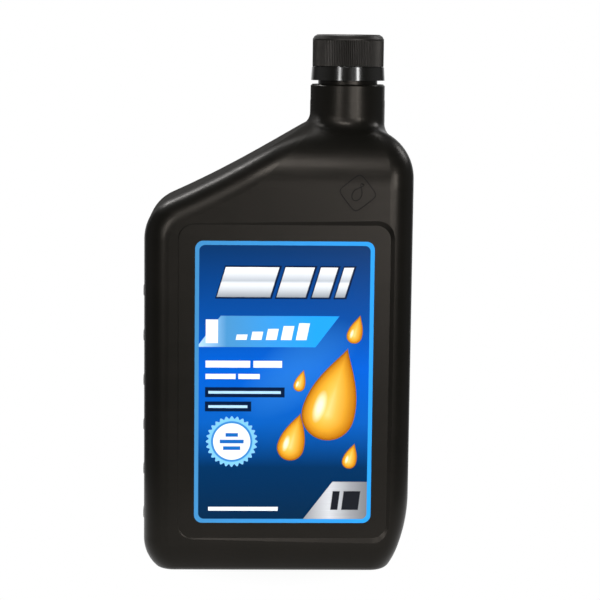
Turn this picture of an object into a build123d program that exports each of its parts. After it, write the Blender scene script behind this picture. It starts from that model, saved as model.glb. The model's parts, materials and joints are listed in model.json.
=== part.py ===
"""Motor oil bottle: blow-moulded bottle, knurled screw cap, cap liner, tamper band and front label.

Millimetres, +Z up, front towards -Y. The origin is the middle of the base, on the surface it stands on.
"""
import os
from math import acos, atan2, cos, degrees, hypot, radians, sin, sqrt

from build123d import *

# Bottle body
body_width = 111.6
body_depth = 62.0
wall = 1.1
edge_round = 10.5  # between the faces and the narrow sides, the slope and the shoulder
base_round = 5.0

# Heels, where the walls turn into the base
heel_height = 13.3  # of the grip side, the front and the back
grip_heel_width = 6.4
face_heel_depth = 5.2
pour_heel_height = 33.0
pour_heel_width = 8.6

# Shoulder, with its heights stacked on shoulder_height
shoulder_height = 140.3  # where the grip side starts to turn in
shoulder_corner = 18.2
shoulder_slope = 24.4  # degrees above level, next to the corner
slope_rise = 51.3  # from shoulder_height to the end of the slope, inside the neck
slope_end_from_neck = 12.1
pour_shoulder_radius = 20.5
pour_shoulder_drop = 25.4  # below the end of the slope
crown_drop = 2.1  # level top below the end of the slope, inside the neck
crown_flat = 8.0

# Neck and thread finish
neck_from_pour_side = 26.7
neck_radius = 15.8
neck_length = 14.8  # from the crown to the ledge
neck_line_drop = 6.8
neck_line_step = 0.12
neck_ledge_round = 0.7
neck_root_fillet = 6.0
finish_radius = 12.5
finish_bore_radius = 10.7
finish_height = 17.9
neck_wall = 1.5
ledge_thickness = 1.6
neck_throat_height = 2.6
rim_round = 0.5
bead_radius = 13.7
bead_bottom = 3.4  # above the neck ledge
bead_flat = 1.2
bead_lead_in = 1.6

# Label panels on both faces, shallower towards the pour side
panel_grip_margin = 14.7
panel_pour_margin = 9.8
panel_bottom = 15.4
panel_above_shoulder = 6.7
panel_grip_depth = 1.0
panel_pour_depth = 0.2
panel_step_slope = 65.0  # degrees that the step leans outwards
panel_corner = 6.0

# Grip ribs on the narrow side
rib_count = 6
rib_first_height = 22.5
rib_below_shoulder = 22.5
rib_length = 34.0
rib_width = 5.0
rib_proud = 0.45
rib_chamfer = 0.35

# Base push-up
push_up_depth = 2.4
push_up_margin = 7.0
push_up_corner = 6.0
push_up_draft = 30.0

# Front label
label_margin = 6.6
label_thickness = 0.2
label_corner = 3.4

# Cap, liner and tamper band
cap_radius = 15.0
cap_height = 13.2
cap_top_thickness = 1.8
cap_top_chamfer = 1.9
cap_edge_chamfer = 0.7
cap_bore_clearance = 1.25  # radial room for the thread between finish and cap
knurl_count = 120
knurl_depth = 0.3
knurl_top_land = 2.5
liner_thickness = 1.0
liner_clearance = 0.3
band_radius = 15.25
band_height = 5.5
band_slit = 0.4
band_flare = 0.32
band_bead_clearance = 0.35
band_lip_height = 1.0
band_lip_clearance = 0.45
bridge_count = 10
bridge_width = 0.9
bridge_depth = 0.6

# Sizes that follow from the ones above
grip_x = -body_width / 2
pour_x = body_width / 2
face_y = body_depth / 2
neck_x = pour_x - neck_from_pour_side
slope_end_height = shoulder_height + slope_rise
crown_height = slope_end_height - crown_drop
face_bend_radius = face_y - crown_flat / 2
face_bend_height = crown_height - face_bend_radius
pour_shoulder_height = slope_end_height - pour_shoulder_drop
neck_ledge_height = crown_height + neck_length
neck_line_height = neck_ledge_height - neck_line_drop
rim_height = neck_ledge_height + finish_height
panel_top = shoulder_height + panel_above_shoulder
panel_width = body_width - panel_grip_margin - panel_pour_margin
panel_height = panel_top - panel_bottom
panel_x = (panel_grip_margin - panel_pour_margin) / 2
panel_z = (panel_top + panel_bottom) / 2
panel_depth = (panel_grip_depth + panel_pour_depth) / 2
panel_lean = atan2(panel_grip_depth - panel_pour_depth, panel_width)
rib_pitch = (shoulder_height - rib_below_shoulder - rib_first_height) / (rib_count - 1)
cap_bore_radius = finish_radius + cap_bore_clearance
cap_ceiling = rim_height + liner_thickness
cap_top = cap_ceiling + cap_top_thickness
cap_bottom = cap_top - cap_height
band_top = cap_bottom - band_slit
band_bottom = band_top - band_height
band_bore_radius = bead_radius + band_bead_clearance
neck_axis = Axis((neck_x, 0, 0), (0, 0, 1))
neck_plane = Plane(origin=(neck_x, 0, 0), x_dir=(1, 0, 0), z_dir=(0, -1, 0))

# Front outline: heels, upright sides, curved slope to the neck and round shoulder on the pour side
slope_end = (neck_x - slope_end_from_neck, slope_end_height)
slope_turn = 90 - shoulder_slope
slope_way = (cos(radians(shoulder_slope)), sin(radians(shoulder_slope)))
pour_centre = (pour_x - pour_shoulder_radius, pour_shoulder_height)
pour_reach = hypot(slope_end[0] - pour_centre[0], slope_end[1] - pour_centre[1])
pour_bearing = atan2(slope_end[1] - pour_centre[1], slope_end[0] - pour_centre[0])
pour_turn = degrees(pour_bearing - acos(pour_shoulder_radius / pour_reach))
with BuildSketch(Plane.XZ) as front_outline:
    with BuildLine():
        Line((pour_x - pour_heel_width, 0), (grip_x + grip_heel_width, 0))
        TangentArc((grip_x, heel_height), (grip_x + grip_heel_width, 0), tangent=(0, -1))
        Line((grip_x, heel_height), (grip_x, shoulder_height))
        corner = CenterArc((grip_x + shoulder_corner, shoulder_height), shoulder_corner, 180, -slope_turn)
        TangentArc(corner @ 1, slope_end, tangent=slope_way)
        shoulder = CenterArc(pour_centre, pour_shoulder_radius, 0, pour_turn)
        Line(slope_end, shoulder @ 1)
        Line((pour_x, pour_shoulder_height), (pour_x, pour_heel_height))
        TangentArc((pour_x, pour_heel_height), (pour_x - pour_heel_width, 0), tangent=(0, -1))
    make_face()

# Side outline: heels, upright faces and the bend of each face towards the neck
with BuildSketch(Plane.YZ) as side_outline:
    with BuildLine():
        Line((0, 0), (face_y - face_heel_depth, 0))
        TangentArc((face_y, heel_height), (face_y - face_heel_depth, 0), tangent=(0, -1))
        Line((face_y, heel_height), (face_y, face_bend_height))
        CenterArc((crown_flat / 2, face_bend_height), face_bend_radius, 0, 90)
        Line((crown_flat / 2, crown_height), (0, crown_height))
        mirror(about=Plane.YZ)
    make_face()


def moulded_body(inset):
    """Both outlines crossed, moved in by inset, with the long edges and the base rounded."""
    with BuildPart() as body:
        with BuildSketch(Plane.XZ):
            add(front_outline.sketch_local)
            if inset:
                offset(amount=-inset, kind=Kind.INTERSECTION, mode=Mode.REPLACE)
        extrude(amount=body_depth, both=True)
        with BuildSketch(Plane.YZ):
            add(side_outline.sketch_local)
            if inset:
                offset(amount=-inset, kind=Kind.INTERSECTION, mode=Mode.REPLACE)
        extrude(amount=body_width, both=True, mode=Mode.INTERSECT)
        fillet(body.edges().filter_by(Axis.Z), edge_round - inset)
        fillet(body.faces().sort_by(Axis.Z)[0].edges(), base_round - inset)
    return body.part


def panel_plane(face):
    """Floor of a label panel, with its normal outwards; face is -1 for the front and 1 for the back."""
    normal = (sin(panel_lean), face * cos(panel_lean), 0)
    across = (-face * cos(panel_lean), sin(panel_lean), 0)
    return Plane(origin=(panel_x, face * (face_y - panel_depth), panel_z), x_dir=across, z_dir=normal)


def panel_pocket(face, grow):
    """Shallow framed pocket for a label on one face, with sloping steps all round."""
    with BuildPart() as pocket:
        with BuildSketch(panel_plane(face).offset(-grow)):
            RectangleRounded(panel_width + 2 * grow, panel_height + 2 * grow, panel_corner + grow)
        extrude(amount=2 * panel_grip_depth + grow, taper=-panel_step_slope)
    return pocket.part


def base_pad(grow):
    """Raised middle of the base, drawn in towards its top."""
    left = grip_x + grip_heel_width + push_up_margin - grow
    right = pour_x - pour_heel_width - push_up_margin + grow
    depth = 2 * (face_y - face_heel_depth - push_up_margin + grow)
    with BuildPart() as pad:
        with BuildSketch(Plane(origin=((left + right) / 2, 0, 0))):
            RectangleRounded(right - left, depth, push_up_corner + grow)
        extrude(amount=push_up_depth + grow, taper=push_up_draft)
    return pad.part


# Hollow inside the bottle, one wall inside the skin, with the bore of the neck
with BuildPart() as hollow:
    add(moulded_body(wall))
    for face in (-1, 1):
        add(panel_pocket(face, wall), mode=Mode.SUBTRACT)
    add(base_pad(wall), mode=Mode.SUBTRACT)
    with BuildSketch(neck_plane):
        with BuildLine():
            Polyline(
                (0, pour_shoulder_height),
                (neck_radius - neck_wall, pour_shoulder_height),
                (neck_radius - neck_wall, neck_ledge_height - ledge_thickness - neck_throat_height),
                (finish_bore_radius, neck_ledge_height - ledge_thickness),
                (finish_bore_radius, rim_height),
                (0, rim_height),
                close=True,
            )
        make_face()
    revolve(axis=neck_axis)

# Blow-moulded bottle
with BuildPart() as bottle:
    add(moulded_body(0))
    with BuildSketch(neck_plane):
        with BuildLine():
            Polyline(
                (0, pour_shoulder_height),
                (neck_radius, pour_shoulder_height),
                (neck_radius, neck_line_height),
                (neck_radius - neck_line_step, neck_line_height),
                (neck_radius - neck_line_step, neck_ledge_height - neck_ledge_round),
                (neck_radius - neck_line_step - neck_ledge_round, neck_ledge_height),
                (finish_radius, neck_ledge_height),
                (finish_radius, neck_ledge_height + bead_bottom),
                (bead_radius, neck_ledge_height + bead_bottom),
                (bead_radius, neck_ledge_height + bead_bottom + bead_flat),
                (finish_radius, neck_ledge_height + bead_bottom + bead_flat + bead_lead_in),
                (finish_radius, rim_height - rim_round),
                (finish_radius - rim_round, rim_height),
                (0, rim_height),
                close=True,
            )
        make_face()
    revolve(axis=neck_axis)
    fillet(bottle.edges(Select.NEW), neck_root_fillet)
    for face in (-1, 1):
        add(panel_pocket(face, 0), mode=Mode.SUBTRACT)
    add(base_pad(0), mode=Mode.SUBTRACT)
    with BuildSketch(Plane(origin=(grip_x + wall / 2, 0, rib_first_height), x_dir=(0, 1, 0), z_dir=(-1, 0, 0))):
        with Locations(*[(0, -rib_pitch * step) for step in range(rib_count)]):
            SlotOverall(rib_length, rib_width)
    extrude(amount=rib_proud + wall / 2)
    rib_tops = bottle.faces().sort_by(Axis.X)[:rib_count]
    chamfer(rib_tops.edges(), rib_chamfer)
    add(hollow.part, mode=Mode.SUBTRACT)

# Knurled screw cap
with BuildPart() as cap:
    with BuildSketch(neck_plane):
        with BuildLine():
            Polyline(
                (0, cap_top),
                (0, cap_ceiling),
                (cap_bore_radius, cap_ceiling),
                (cap_bore_radius, cap_bottom),
                (cap_radius, cap_bottom),
                (cap_radius, cap_top - cap_top_chamfer),
                (cap_radius - cap_edge_chamfer, cap_top - cap_edge_chamfer),
                (cap_radius - cap_top_chamfer, cap_top),
                close=True,
            )
        make_face()
    revolve(axis=neck_axis)
    with BuildSketch(Plane(origin=(neck_x, 0, cap_bottom))):
        with PolarLocations(cap_radius, knurl_count):
            Rectangle(knurl_depth * sqrt(2), knurl_depth * sqrt(2), rotation=45)
    extrude(amount=cap_height - knurl_top_land, mode=Mode.SUBTRACT)

# Foam disc in the cap
with BuildPart() as cap_liner:
    with BuildSketch(Plane(origin=(neck_x, 0, rim_height))):
        Circle(cap_bore_radius - liner_clearance)
    extrude(amount=liner_thickness)

# Tamper band with its breakable bridges
with BuildPart() as tamper_band:
    with BuildSketch(neck_plane):
        with BuildLine():
            Polyline(
                (band_bore_radius, band_top),
                (band_bore_radius, band_bottom + band_lip_height),
                (finish_radius + band_lip_clearance, band_bottom + band_lip_height),
                (finish_radius + band_lip_clearance, band_bottom),
                (band_radius + band_flare, band_bottom),
                (band_radius, band_top),
                close=True,
            )
        make_face()
    revolve(axis=neck_axis)
    with BuildSketch(Plane(origin=(neck_x, 0, band_top))):
        with PolarLocations((band_radius + band_bore_radius) / 2, bridge_count):
            Rectangle(bridge_depth, bridge_width)
    extrude(amount=band_slit)

# Printed film on the front panel
with BuildPart() as front_label:
    with BuildSketch(panel_plane(-1)):
        RectangleRounded(panel_width - 2 * label_margin, panel_height - 2 * label_margin, label_corner)
    extrude(amount=label_thickness)

os.makedirs("parts", exist_ok=True)
bottle.part.label = "bottle"
cap.part.label = "cap"
cap_liner.part.label = "cap_liner"
tamper_band.part.label = "tamper_band"
front_label.part.label = "front_label"
for piece in (bottle, cap, cap_liner, tamper_band, front_label):
    export_step(piece.part, f"parts/{piece.part.label}.step")
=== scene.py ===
"""Motor oil bottle: finishes, threads, score web, moulded sign, printed label, light and camera.

Metres, +Z up, front towards -Y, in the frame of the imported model.
"""

import json
from math import cos, pi, radians, sin

import bmesh
import bpy
from mathutils import Matrix, Vector

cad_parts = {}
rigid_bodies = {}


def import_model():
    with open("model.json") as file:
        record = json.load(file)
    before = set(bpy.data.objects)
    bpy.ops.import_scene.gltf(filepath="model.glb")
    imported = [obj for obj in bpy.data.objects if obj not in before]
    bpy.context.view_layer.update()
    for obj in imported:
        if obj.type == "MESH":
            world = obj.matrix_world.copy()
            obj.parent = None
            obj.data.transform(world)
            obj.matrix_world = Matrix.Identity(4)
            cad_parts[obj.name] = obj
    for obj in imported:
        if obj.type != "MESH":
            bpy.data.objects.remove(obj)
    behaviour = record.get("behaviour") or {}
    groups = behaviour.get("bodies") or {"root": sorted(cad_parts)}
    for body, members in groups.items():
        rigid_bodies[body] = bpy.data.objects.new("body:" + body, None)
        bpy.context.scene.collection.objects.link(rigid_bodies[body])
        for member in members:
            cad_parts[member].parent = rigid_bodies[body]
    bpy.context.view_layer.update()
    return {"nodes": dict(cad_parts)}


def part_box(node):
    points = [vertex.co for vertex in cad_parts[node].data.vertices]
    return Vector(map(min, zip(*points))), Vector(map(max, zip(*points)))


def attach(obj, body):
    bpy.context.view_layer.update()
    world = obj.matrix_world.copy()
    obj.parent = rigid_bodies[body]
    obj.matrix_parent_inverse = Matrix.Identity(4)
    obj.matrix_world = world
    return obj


for left_over in list(bpy.data.objects):
    bpy.data.objects.remove(left_over)

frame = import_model()
MM = 0.001

# Places read from the frame
bottle_low, bottle_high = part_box("bottle")
cap_low, cap_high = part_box("cap")
label_low, label_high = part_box("front_label")
neck_x = (cap_low.x + cap_high.x) / 2
rim_z = bottle_high.z
label_x = (label_low.x + label_high.x) / 2
label_z = (label_low.z + label_high.z) / 2
label_half_width = (label_high.x - label_low.x) / 2
label_half_height = (label_high.z - label_low.z) / 2

# Duller upper side of the slope, which ends at the neck
SLOPE_END_X = neck_x - 12.1 * MM
SLOPE_END_Z = 191.6 * MM
SLOPE_ANGLE = radians(29.2)
SLOPE_HALF_WIDTH = bottle_high.y - 6.5 * MM
SLOPE_DEPTH = 6.0 * MM
SLOPE_FADE = 4.0 * MM
SLOPE_DULLNESS = 0.55

# Threads on the neck finish and inside the cap
THREAD_LEAD = 4.2 * MM
THREAD_FOOT = 2.4 * MM
THREAD_TOP = 1.2 * MM
THREAD_DEPTH = 0.9 * MM
THREAD_SINK = 0.15 * MM
THREAD_STEPS = 60
THREAD_RUN_OUT = 6
THREAD_START = rim_z - 8.4 * MM
FINISH_RADIUS = 12.5 * MM
FINISH_TURNS = 1.4
CAP_BORE_RADIUS = 13.75 * MM
CAP_TURNS = 1.0

# Web in the score line between cap and tamper band
SCORE_SLIT = 0.4 * MM
WEB_RADIUS = 14.7 * MM
WEB_THICKNESS = 0.3 * MM
WEB_SINK = 0.1 * MM
WEB_GAP = 0.02 * MM

# Moulded sign on the front
SIGN_X = 32.0 * MM
SIGN_Z = 160.5 * MM
SIGN_LINE = 1.0 * MM
SIGN_RELIEF = 0.02 * MM
SIGN_SINK = -0.005 * MM
SIGN_SQUARE = 6.6 * MM
SIGN_SQUARE_TILT = radians(38.0)
SIGN_DROP_WIDTH = 3.0 * MM
SIGN_DROP_HEIGHT = 4.2 * MM
SIGN_DROP_TILT = radians(-28.0)
IN_FRONT_OF_BOTTLE = bottle_low.y - 10.0 * MM

# Floor, then the brightness of the room's walls and where they begin in the world's directions
FLOOR_RADIUS = 0.18
FLOOR_GLOW = 0.86
FLOOR_FADE = 0.5
ROOM_FRONT = 0.1
ROOM_SIDES = 0.2
ROOM_BACK = 0.9
ROOM_LIGHT = 0.12
SIDES_FROM = 0.8
BACK_FROM = 0.75
WALL_FADE = 0.2

# Aim of the lamps, and the camera
LAMP_AIM = Vector((0.0, 0.0, 110.0 * MM))
CAMERA_AIM = Vector((0.0, 0.0, 112.0 * MM))
CAMERA_DISTANCE = 814.1 * MM
CAMERA_AZIMUTH = radians(-1.5)
CAMERA_ELEVATION = radians(7.416)
CAMERA_ROLL = radians(0.577)


def srgb(red, green, blue):
    """Linear colour, opaque, of a colour written in 0 to 255 steps."""
    def linear(step):
        share = step / 255
        return share / 12.92 if share <= 0.04045 else ((share + 0.055) / 1.055) ** 2.4
    return (linear(red), linear(green), linear(blue), 1.0)


class Value:
    """A shader socket in Python arithmetic: each operation adds one Math node."""

    def __init__(self, finish, socket):
        self.finish = finish
        self.socket = socket

    def math(self, operation, *others, clamp=False):
        return self.finish.math(operation, self, *others, clamp=clamp)

    def __add__(self, other):
        return self.math("ADD", other)

    def __sub__(self, other):
        return self.math("SUBTRACT", other)

    def __mul__(self, other):
        return self.math("MULTIPLY", other)

    def __truediv__(self, other):
        return self.math("DIVIDE", other)

    def __neg__(self):
        return self.math("MULTIPLY", -1.0)

    def __abs__(self):
        return self.math("ABSOLUTE")

    def __radd__(self, other):
        return self.finish.math("ADD", other, self)

    def __rsub__(self, other):
        return self.finish.math("SUBTRACT", other, self)

    def __rmul__(self, other):
        return self.finish.math("MULTIPLY", other, self)

    def __rtruediv__(self, other):
        return self.finish.math("DIVIDE", other, self)

    def least(self, other):
        return self.math("MINIMUM", other)

    def most(self, other):
        return self.math("MAXIMUM", other)

    def power(self, other):
        return self.math("POWER", other)

    def clamped(self):
        return self.math("ADD", 0.0, clamp=True)


class Finish:
    """A procedural material or world: its node tree, its main shader and what adds nodes to it."""

    def __init__(self, name, owner=None, **sockets):
        self.material = owner or bpy.data.materials.new(name)
        self.material.use_nodes = True
        self.tree = self.material.node_tree
        self.shader = self.tree.nodes["Background" if owner else "Principled BSDF"]
        self.set(**sockets)

    def set(self, **sockets):
        """Values or links of the main shader's sockets."""
        for socket, value in sockets.items():
            self.feed(self.shader.inputs[socket.replace("_", " ")], value)

    def feed(self, socket, value):
        if isinstance(value, Value):
            self.tree.links.new(value.socket, socket)
        else:
            socket.default_value = value

    def node(self, kind, settings=None, sockets=None, out=0):
        """Adds one node: its settings first, then the values or links of its sockets."""
        node = self.tree.nodes.new(kind)
        for name, value in (settings or {}).items():
            if name == "stops":
                while len(node.color_ramp.elements) < len(value):
                    node.color_ramp.elements.new(1.0)
                for element, (place, colour) in zip(node.color_ramp.elements, value):
                    element.position = place
                    element.color = colour
            else:
                setattr(node, name, value)
        for key, value in (sockets or {}).items():
            self.feed(node.inputs[key], value)
        return Value(self, node.outputs[out])

    def math(self, operation, *inputs, clamp=False):
        settings = {"operation": operation, "use_clamp": clamp}
        return self.node("ShaderNodeMath", settings, dict(enumerate(inputs)))

    def mix(self, share, below, above):
        """Colour below, covered by the colour above where share is 1."""
        return self.node("ShaderNodeMix", {"data_type": "RGBA"}, {0: share, 6: below, 7: above}, out=2)

    def ramp(self, share, *stops):
        return self.node("ShaderNodeValToRGB", {"stops": stops}, {0: share})

    def place(self):
        """Object coordinates, as one vector."""
        return self.node("ShaderNodeTexCoord", out="Object")

    def axes(self, vector):
        """The three parts of a vector."""
        split = self.node("ShaderNodeSeparateXYZ", sockets={0: vector}).socket.node
        return [Value(self, split.outputs[part]) for part in range(3)]

    def stretched(self, vector, scale):
        """A vector scaled on each axis, for a pattern that runs along one of them."""
        return self.node("ShaderNodeMapping", sockets={"Vector": vector, "Scale": scale})

    def noise(self, vector, scale, detail=2.0, roughness=0.5):
        sockets = {"Vector": vector, "Scale": scale, "Detail": detail, "Roughness": roughness}
        return self.node("ShaderNodeTexNoise", sockets=sockets)

    def bump(self, height, distance, strength):
        sockets = {"Height": height, "Distance": distance, "Strength": strength}
        self.set(Normal=self.node("ShaderNodeBump", sockets=sockets))

    def rays(self, *kinds):
        """1 for rays of these kinds."""
        shares = [self.node("ShaderNodeLightPath", out=kind) for kind in kinds]
        return sum(shares[1:], shares[0]).clamped()

    def surface(self):
        """The main shader, as an input of a Mix Shader."""
        return Value(self, self.shader.outputs[0])


def moulded_black():
    """Satin black blow-moulded polyethylene, with fine die grain and level flow streaks.

    The top of the slope is duller than the rest.
    """
    warm = (1.0, 0.9, 0.8, 1.0)
    finish = Finish("moulded_black", Specular_IOR_Level=0.18, IOR=1.5, Specular_Tint=warm)
    place = finish.place()
    x, y, z = finish.axes(place)
    grain = finish.noise(place, 2600.0)
    streaks = finish.noise(finish.stretched(place, (60.0, 60.0, 1000.0)), 1.0, 4.0, 0.6)
    flow = finish.noise(place, 60.0, 3.0)
    depth = (x - SLOPE_END_X) * sin(SLOPE_ANGLE) - (z - SLOPE_END_Z) * cos(SLOPE_ANGLE)
    on_top = ((SLOPE_DEPTH - depth) / SLOPE_FADE).clamped()
    between_rounds = ((SLOPE_HALF_WIDTH - abs(y)) / SLOPE_FADE).clamped()
    left_of_neck = ((SLOPE_END_X - x) / SLOPE_FADE).clamped()
    dull = on_top * between_rounds * left_of_neck
    finish.set(Base_Color=finish.ramp(flow, (0.3, srgb(9, 9, 7)), (0.7, srgb(12, 11, 9))))
    finish.set(Roughness=0.22 + 0.05 * flow + 0.04 * grain + 0.14 * streaks + SLOPE_DULLNESS * dull)
    finish.bump(0.3 * grain + streaks, 0.02 * MM, 0.6)
    return finish.material


def sign_black():
    """Matt lines of the moulded sign, etched in the mould; their black, darker than the bottle's, is
    painted shade in place of the shading of a deeper relief.
    """
    finish = Finish("sign_black", Specular_IOR_Level=0.1, IOR=1.5)
    grain = finish.noise(finish.place(), 3000.0)
    # Darker black than the bottle's: painted shade standing in for the shading of the sign's relief
    finish.set(Base_Color=finish.ramp(grain, (0.3, srgb(5, 5, 4)), (0.7, srgb(9, 8, 7))))
    finish.set(Roughness=0.55 + 0.2 * grain)
    finish.bump(grain, 0.02 * MM, 0.5)
    return finish.material


def cap_black():
    """Satin black polypropylene of the cap, a little greyer and rougher than the bottle."""
    warm = (1.0, 0.94, 0.88, 1.0)
    finish = Finish("cap_black", Specular_IOR_Level=0.26, IOR=1.49, Specular_Tint=warm)
    grain = finish.noise(finish.place(), 3200.0)
    finish.set(Base_Color=finish.ramp(grain, (0.3, srgb(16, 15, 14)), (0.7, srgb(22, 21, 19))))
    finish.set(Roughness=0.4 + 0.1 * grain)
    finish.bump(grain, 0.02 * MM, 0.3)
    return finish.material


def band_black():
    """Glossier black of the tamper band, stretched smooth over its bead."""
    finish = Finish("band_black", Specular_IOR_Level=0.42, IOR=1.49, Coat_Roughness=0.12)
    streak = finish.noise(finish.place(), 900.0, 1.0)
    finish.set(Base_Color=finish.ramp(streak, (0.3, srgb(8, 8, 6)), (0.7, srgb(11, 10, 8))))
    finish.set(Roughness=0.15 + 0.06 * streak, Coat_Weight=0.1 + 0.1 * streak)
    return finish.material


def liner_foam():
    """White closed-cell foam of the cap liner."""
    finish = Finish("liner_foam", Specular_IOR_Level=0.25)
    cells = finish.node("ShaderNodeTexVoronoi", sockets={"Vector": finish.place(), "Scale": 2400.0})
    finish.set(Base_Color=finish.ramp(cells, (0.0, srgb(222, 221, 214)), (0.8, srgb(240, 240, 236))))
    finish.set(Roughness=0.75 + 0.15 * cells)
    finish.bump(cells, 0.05 * MM, 0.5)
    return finish.material


# Inks of the label that more than one motif takes
PALE_BLUE = srgb(168, 208, 240)
PAPER_WHITE = srgb(238, 243, 248)
DARK_BLUE = srgb(4, 26, 58)


class LabelPrint(Finish):
    """Film printed in millimetres from the middle of the label; each ink covers what is under it."""

    edge_blur = 0.22

    def __init__(self, name, **sockets):
        super().__init__(name, **sockets)
        self.film = self.place()
        x, _, z = self.axes(self.film)
        self.x = (x - label_x) / MM
        self.z = (z - label_z) / MM
        self.ink = None

    def cover(self, share, colour):
        self.ink = self.mix(share, self.ink, colour)

    def inside(self, distance, blur=edge_blur):
        """1 where a distance from an edge is negative."""
        return (0.5 - distance / blur).clamped()

    def bar(self, left, right, bottom, top, slant=0.0):
        """Bar whose ends lean by slant, given as its run for each unit of height."""
        lean = self.x - slant * (self.z - bottom)
        across = (left - lean).most(lean - right)
        along = (bottom - self.z).most(self.z - top)
        return self.inside(across.most(along))

    def turned(self, centre_x, centre_z, angle):
        """Coordinates about a centre, turned by an angle in degrees."""
        run = self.x - centre_x
        rise = self.z - centre_z
        c, s = cos(radians(angle)), sin(radians(angle))
        return run * c + rise * s, rise * c - run * s

    def blue_field(self):
        """Field of blue, lightest in the middle."""
        height = self.z / (2 * label_half_height / MM) + 0.5
        field = self.ramp(
            height,
            (0.0, srgb(2, 36, 66)),
            (0.2, srgb(2, 44, 86)),
            (0.36, srgb(8, 86, 174)),
            (0.55, srgb(2, 88, 196)),
            (0.72, srgb(5, 70, 150)),
            (1.0, srgb(6, 46, 92)),
        )
        glow_x, glow_z = self.turned(6.0, 6.0, 38.0)
        glow = (1.0 - (glow_x * glow_x / 900.0 + glow_z * glow_z / 200.0)).most(0.0)
        self.ink = self.mix(0.3 * glow, field, srgb(58, 140, 205))

    def head_bars(self):
        """Slanted steel bars across the head of the label, each with a dark rim."""
        left, bottom, top, slant, gap, rim = -28.0, 36.0, 48.4, 0.3, 2.6, 0.7
        steel = self.ramp(
            (self.z - bottom) / (top - bottom),
            (0.0, srgb(140, 146, 154)),
            (0.45, srgb(226, 230, 234)),
            (0.55, srgb(176, 182, 190)),
            (1.0, srgb(244, 246, 248)),
        )
        for length in (22.0, 12.0, 7.0, 4.0):
            right = left + length
            self.cover(self.bar(left - rim, right + rim, bottom - rim, top + rim, slant), DARK_BLUE)
            self.cover(self.bar(left, right, bottom, top, slant), steel)
            left = right + gap

    def step_band(self):
        """Pale band with a row of rising steps in white."""
        left, right, bottom, top = -36.0, 13.0, 15.2, 28.2
        share = ((self.x - left) / (right - left)).clamped()
        band = self.ramp(share, (0.0, PALE_BLUE), (0.25, srgb(70, 138, 190)), (1.0, srgb(30, 150, 235)))
        self.cover(self.bar(left, right, bottom, top, 0.75), band)
        first, pitch, width, foot, head, growth, lean = -20.0, 6.2, 4.4, 18.2, 20.4, 1.2, 0.2
        for step in range(5):
            start = first + pitch * step
            self.cover(self.bar(start, start + width, foot, head + growth * step, lean), PAPER_WHITE)
        self.cover(self.bar(-32.4, -27.4, 16.8, 26.6), PAPER_WHITE)

    def plain_bars(self):
        """Plain white bars, and dark strips with a pale line in them."""
        for left, right, bottom, top in (
            (-32.4, -14.0, 6.6, 9.4), (-12.6, -0.8, 6.6, 9.4),
            (-32.4, -20.0, 1.8, 3.9), (-18.8, -10.0, 1.8, 3.9),
            (-31.0, -2.0, -54.0, -52.4),
        ):
            self.cover(self.bar(left, right, bottom, top), PAPER_WHITE)
        strip_left, strip_height = -32.6, 4.2
        line_left, line_end, line_bottom, line_top = -31.2, 1.6, 1.5, 2.6
        for right, bottom in ((0.4, -5.9), (-13.4, -11.9)):
            self.cover(self.bar(strip_left, right, bottom, bottom + strip_height), DARK_BLUE)
            line = self.bar(line_left, right - line_end, bottom + line_bottom, bottom + line_top)
            self.cover(line, PALE_BLUE)

    def toothed_seal(self):
        """Round seal with a toothed rim, a ring and a white middle with three bars."""
        seal_x, seal_z, bar_height = -21.4, -24.6, 1.6
        rim, ring, middle = 10.2, 8.6, 7.7
        tooth_count, tooth_height = 28.0, 0.55
        run, rise = self.turned(seal_x, seal_z, 0.0)
        reach = (run * run + rise * rise).power(0.5)
        turn = self.math("ARCTAN2", rise, run)
        teeth = self.math("COSINE", turn * tooth_count) * tooth_height
        self.cover(self.inside(reach - teeth - rim), srgb(120, 186, 232))
        self.cover(self.inside(reach - ring), srgb(52, 128, 196))
        self.cover(self.inside(reach - middle), PAPER_WHITE)
        for bottom, half in ((-22.6, 2.6), (-25.4, 5.0), (-28.2, 3.6)):
            bar = self.bar(seal_x - half, seal_x + half, bottom, bottom + bar_height)
            self.cover(bar, srgb(20, 96, 176))

    def amber_drops(self):
        """Drops that fall across the right half: place, radius and height above the round end."""
        lean = -16.0
        for x, z, radius, tall in (
            (18.5, -13.0, 11.0, 29.0),
            (3.0, -27.0, 5.6, 15.0),
            (29.0, 20.0, 3.2, 9.0),
            (6.4, -1.0, 2.4, 7.0),
            (27.6, -33.0, 3.0, 8.0),
        ):
            self.amber_drop(x, z, radius, tall, lean)

    def amber_drop(self, x, z, radius, tall, lean):
        """One drop, darker at its rim and on its right, with a long shine."""
        across, up = self.turned(x, z, lean)
        rise = (up / tall).most(0.0).least(1.0)
        width = radius * (1.0 - rise * rise).power(1.25)
        low = up.least(0.0)
        edge = (across * across + low * low).power(0.5) - width
        amber = self.ramp(
            (-edge / radius).clamped(),
            (0.0, srgb(120, 66, 8)),
            (0.12, srgb(196, 128, 22)),
            (0.4, srgb(236, 176, 52)),
            (0.75, srgb(250, 204, 92)),
            (1.0, srgb(252, 226, 140)),
        )
        shade = (0.5 + across / (2.4 * radius)).clamped()
        amber = self.mix(0.55 * shade, amber, srgb(168, 96, 10))
        shine_x, shine_z = across + 0.38 * radius, up - 0.2 * radius
        shine_reach = (shine_x * shine_x * 5.0 + shine_z * shine_z * 0.7).power(0.5)
        shine = self.inside(shine_reach - 0.36 * radius, 0.4 * radius)
        amber = self.mix(0.85 * shine, amber, srgb(255, 246, 214))
        self.cover(self.inside(edge.most(up - tall)), amber)

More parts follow.
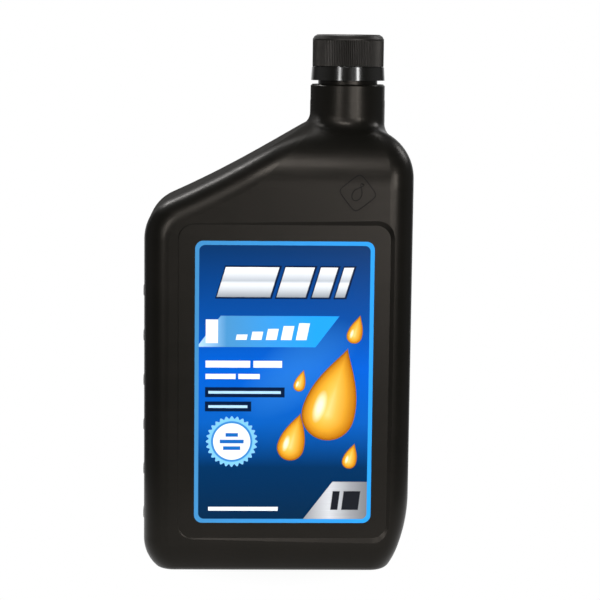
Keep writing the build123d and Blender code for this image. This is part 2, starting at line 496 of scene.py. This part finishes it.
    def silver_corner(self):
        """Brushed silver corner with two dark bars."""
        brushed = self.noise(self.stretched(self.film, (60.0, 1.0, 5200.0)), 1.0)
        silver = self.ramp(
            ((self.x - 6.0) / 30.0).clamped(),
            (0.0, srgb(112, 114, 118)),
            (0.45, srgb(206, 208, 212)),
            (0.75, srgb(150, 152, 156)),
            (1.0, srgb(112, 114, 118)),
        )
        silver = self.mix(0.25 * brushed, silver, srgb(90, 92, 96))
        self.cover(self.bar(6.8, 60.0, -60.0, -41.6, 0.76), silver)
        for left, right in ((20.0, 23.0), (24.6, 31.6)):
            self.cover(self.bar(left, right, -53.6, -45.6, 0.12), srgb(26, 28, 34))

    def pale_border(self):
        """Border along the edge of the film, with round inner corners."""
        border, corner, blend = 1.7, 2.4, 80.0
        over_x = (abs(self.x) - (label_half_width / MM - border - corner)).most(0.0)
        over_z = (abs(self.z) - (label_half_height / MM - border - corner)).most(0.0)
        past_field = (over_x * over_x + over_z * over_z).power(0.5) - corner
        blue = self.mix((self.x / blend + 0.5).clamped(), srgb(62, 130, 182), srgb(40, 148, 226))
        self.cover(self.inside(-past_field), blue)


def label_print():
    """Printed film: pale border on a blue field, bars, a seal, amber drops and a silver corner."""
    label = LabelPrint("label_print", Specular_IOR_Level=0.04, IOR=1.5)
    label.blue_field()
    label.head_bars()
    label.step_band()
    label.plain_bars()
    label.toothed_seal()
    label.amber_drops()
    label.silver_corner()
    label.pale_border()
    weave = label.noise(label.film, 1400.0)
    label.set(Base_Color=label.ink, Roughness=0.2 + 0.08 * weave)
    label.bump(weave, 0.01 * MM, 0.25)
    return label.material


def dress(node, material):
    """Gives a solid of the frame its finish."""
    for slot in frame["nodes"][node].material_slots:
        slot.material = material


def added(name, mesh, material):
    """Turns a finished mesh into an object of the scene."""
    data = bpy.data.meshes.new(name)
    mesh.to_mesh(data)
    mesh.free()
    data.materials.append(material)
    thing = bpy.data.objects.new(name, data)
    bpy.context.scene.collection.objects.link(thing)
    return thing


def piece(name, mesh, material, body):
    """Turns a finished mesh into a piece that rides on a body of the frame."""
    bmesh.ops.recalc_face_normals(mesh, faces=mesh.faces)
    for face in mesh.faces:
        face.smooth = True
    thing = added(name, mesh, material)
    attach(thing, body)


def helical_ridge(name, root, crest, bottom, turns, material, body):
    """Thread ridge that rises one lead a turn and sinks into its wall at both ends."""
    mesh = bmesh.new()
    bmesh.ops.create_grid(mesh, x_segments=1, y_segments=1, size=0.5)
    bmesh.ops.rotate(mesh, verts=mesh.verts, matrix=Matrix.Rotation(pi / 2, 3, "X"))
    bmesh.ops.scale(mesh, verts=mesh.verts, vec=(crest - root, 1.0, THREAD_FOOT))
    bmesh.ops.translate(mesh, verts=mesh.verts, vec=((root + crest) / 2, 0.0, 0.0))
    for corner in mesh.verts:
        if abs(corner.co.x - crest) < abs(corner.co.x - root):
            corner.co.z *= THREAD_TOP / THREAD_FOOT
    section_corners = len(mesh.verts)
    steps = round(THREAD_STEPS * turns)
    bmesh.ops.spin(
        mesh, geom=mesh.verts[:] + mesh.edges[:] + mesh.faces[:], axis=(0.0, 0.0, 1.0),
        dvec=(0.0, 0.0, THREAD_LEAD * turns / steps), angle=2 * pi * turns, steps=steps,
    )
    mesh.verts.index_update()
    for corner in mesh.verts:
        step = corner.index // section_corners
        rise = min(1.0, step / THREAD_RUN_OUT, (steps - step) / THREAD_RUN_OUT)
        reach = Vector((corner.co.x, corner.co.y)).length
        share = (root + (reach - root) * rise) / reach
        corner.co.x *= share
        corner.co.y *= share
    bmesh.ops.translate(mesh, verts=mesh.verts, vec=(neck_x, 0.0, bottom))
    piece(name, mesh, material, body)


def score_web(material):
    """Thin web that the score line leaves between cap and tamper band; it stays on the band."""
    mesh = bmesh.new()
    height = SCORE_SLIT + WEB_SINK
    bmesh.ops.create_cone(mesh, segments=120, radius1=WEB_RADIUS, radius2=WEB_RADIUS, depth=height)
    bmesh.ops.solidify(mesh, geom=mesh.faces[:], thickness=WEB_THICKNESS)
    bmesh.ops.translate(mesh, verts=mesh.verts, vec=(neck_x, 0.0, cap_low.z - WEB_GAP - height / 2))
    piece("score_web", mesh, material, "bottle")


def raised_line(name, outline, material):
    """Closed line on the front face, with its middle a hair proud.

    The outline bends a unit circle into the line's shape.
    """
    mesh = bmesh.new()
    bmesh.ops.create_circle(mesh, cap_ends=True, segments=96, radius=1.0)
    for point in mesh.verts:
        across, up = outline(point.co.x, point.co.y)
        point.co = Vector((SIGN_X + across, 0.0, SIGN_Z + up))
    bmesh.ops.recalc_face_normals(mesh, faces=mesh.faces)
    rim = set(mesh.verts)
    bmesh.ops.inset_region(mesh, faces=mesh.faces[:], thickness=SIGN_LINE / 2, use_boundary=True)
    crown = set(mesh.verts) - rim
    middle = max(mesh.faces, key=lambda face: len(face.verts))
    bmesh.ops.inset_region(mesh, faces=[middle], thickness=SIGN_LINE / 2, use_boundary=True)
    middle = max(mesh.faces, key=lambda face: len(face.verts))
    bmesh.ops.delete(mesh, geom=[middle], context="FACES")
    for point in mesh.verts:
        start = Vector((point.co.x, IN_FRONT_OF_BOTTLE, point.co.z))
        _, place, normal, _ = frame["nodes"]["bottle"].ray_cast(start, Vector((0.0, 1.0, 0.0)))
        point.co = place + normal * (SIGN_RELIEF if point in crown else SIGN_SINK)
    piece(name, mesh, material, "bottle")


def tilted(across, up, angle):
    """A point turned about the middle of the sign."""
    c, s = cos(angle), sin(angle)
    return across * c - up * s, across * s + up * c


def sign_frame(across, up):
    """Tilted square with round corners, which a higher power makes sharper."""
    power = 5
    reach = (abs(across) ** power + abs(up) ** power) ** (1 / power)
    return tilted(SIGN_SQUARE * across / reach, SIGN_SQUARE * up / reach, SIGN_SQUARE_TILT)


def sign_drop(across, up):
    """Drop that falls to the lower left, with a pointed top."""
    narrow = 1.0 - 0.5 * (up + 1.0) ** 2 / 4.0 - 0.45 * max(up, 0.0) ** 2
    return tilted(SIGN_DROP_WIDTH * across * narrow, SIGN_DROP_HEIGHT * up, SIGN_DROP_TILT)


def floor_white():
    """White floor that takes the bottle's shadow and fades into the white behind it."""
    finish = Finish("floor_white", Specular_IOR_Level=0.0, Roughness=0.9)
    place = finish.place()
    x, y, _ = finish.axes(place)
    reach = (x * x + y * y).power(0.5) / FLOOR_RADIUS
    mottle = finish.noise(place, 40.0)
    finish.set(Base_Color=finish.ramp(mottle, (0.3, srgb(236, 236, 236)), (0.7, srgb(240, 240, 240))))
    seen = finish.rays("Is Camera Ray", "Is Glossy Ray", "Is Transmission Ray")
    share = seen * (FLOOR_GLOW + FLOOR_FADE * reach).least(1.0)
    glow = finish.node("ShaderNodeEmission", sockets={"Color": (1.0, 1.0, 1.0, 1.0)})
    surface = finish.node("ShaderNodeMixShader", sockets={0: share, 1: finish.surface(), 2: glow})
    finish.feed(finish.tree.nodes["Material Output"].inputs["Surface"], surface)
    return finish.material


def studio_floor():
    """Round floor under the bottle."""
    mesh = bmesh.new()
    bmesh.ops.create_circle(mesh, cap_ends=True, segments=96, radius=FLOOR_RADIUS)
    floor = added("studio_floor", mesh, floor_white())


def studio_world():
    """White backdrop for the camera and behind the bottle, a dark room in front, dim grey as light."""
    world = bpy.data.worlds.new("studio_world")
    bpy.context.scene.world = world
    backdrop = Finish("studio_world", world)
    beside, behind, _ = backdrop.axes(backdrop.node("ShaderNodeTexCoord", out="Generated"))
    white = backdrop.rays("Is Camera Ray", "Is Transmission Ray")
    side_wall = ((abs(beside) - SIDES_FROM) / WALL_FADE).clamped()
    back_wall = ((behind - BACK_FROM) / WALL_FADE).clamped()
    walls = ROOM_FRONT + ROOM_SIDES * side_wall + ROOM_BACK * back_wall
    mirrored = backdrop.rays("Is Glossy Ray") * walls
    light = ROOM_LIGHT * (1.0 - backdrop.rays("Is Camera Ray", "Is Transmission Ray", "Is Glossy Ray"))
    backdrop.set(Color=(1.0, 1.0, 1.0, 1.0), Strength=white + mirrored + light)


def softbox(name, azimuth, elevation, distance, width, height, radiance):
    """Area lamp that faces the middle of the bottle; azimuth 0 is straight in front."""
    lamp = bpy.data.lights.new(name, "AREA")
    lamp.shape = "RECTANGLE"
    lamp.size = width
    lamp.size_y = height
    lamp.energy = radiance * pi * width * height
    holder = bpy.data.objects.new(name, lamp)
    bpy.context.scene.collection.objects.link(holder)
    a, e = radians(azimuth), radians(elevation)
    outward = Vector((sin(a) * cos(e), -cos(a) * cos(e), sin(e)))
    holder.location = LAMP_AIM + outward * distance
    holder.rotation_euler = outward.to_track_quat("Z", "Y").to_euler()


def photo_camera():
    """Camera at the photograph's viewing angle, for a square frame."""
    ahead, aside = cos(CAMERA_AZIMUTH), sin(CAMERA_AZIMUTH)
    level = cos(CAMERA_ELEVATION)
    forward = Vector((-aside * level, ahead * level, -sin(CAMERA_ELEVATION)))
    right = Vector((ahead, aside, 0.0))
    up = right.cross(forward)
    turn = Matrix((right, up, -forward)).transposed().to_4x4()
    place = Matrix.Translation(CAMERA_AIM - forward * CAMERA_DISTANCE)
    lens = bpy.data.cameras.new("photo_camera")
    lens.sensor_width = 36.0
    lens.lens = 114.0
    lens.shift_x = 0.0388
    lens.shift_y = 0.0003
    camera = bpy.data.objects.new("photo_camera", lens)
    bpy.context.scene.collection.objects.link(camera)
    camera.matrix_world = place @ turn @ Matrix.Rotation(CAMERA_ROLL, 4, "Z")
    bpy.context.scene.camera = camera


# Finishes
bottle_finish = moulded_black()
cap_finish = cap_black()
band_finish = band_black()
sign_finish = sign_black()
dress("bottle", bottle_finish)
dress("cap", cap_finish)
dress("tamper_band", band_finish)
dress("cap_liner", liner_foam())
dress("front_label", label_print())
bpy.context.view_layer.update()

# Added pieces
helical_ridge(
    "finish_thread", FINISH_RADIUS - THREAD_SINK, FINISH_RADIUS + THREAD_DEPTH,
    THREAD_START, FINISH_TURNS, bottle_finish, "bottle",
)
helical_ridge(
    "cap_thread", CAP_BORE_RADIUS + THREAD_SINK, CAP_BORE_RADIUS - THREAD_DEPTH,
    THREAD_START + THREAD_LEAD / 2, CAP_TURNS, cap_finish, "cap",
)
score_web(band_finish)
raised_line("sign_frame", sign_frame, sign_finish)
raised_line("sign_drop", sign_drop, sign_finish)

# Studio and camera
studio_floor()
studio_world()
softbox("left_strip", -28.0, 13.0, 1.5, 0.17, 0.6, 22.0)
softbox("right_strip", 29.0, 11.0, 1.5, 0.17, 0.6, 32.0)
softbox("right_card", 13.0, 0.0, 1.5, 0.3, 0.2, 23.0)
softbox("front_box", -8.0, 40.0, 1.2, 0.3, 0.16, 42.0)
softbox("top_box", 180.0, 68.0, 1.2, 0.4, 0.3, 16.0)
softbox("left_rim", -138.0, 46.0, 1.5, 0.3, 0.4, 15.0)
softbox("right_rim", 120.0, 36.0, 1.5, 0.3, 0.5, 9.0)
photo_camera()
bpy.context.scene.view_settings.view_transform = "Standard"
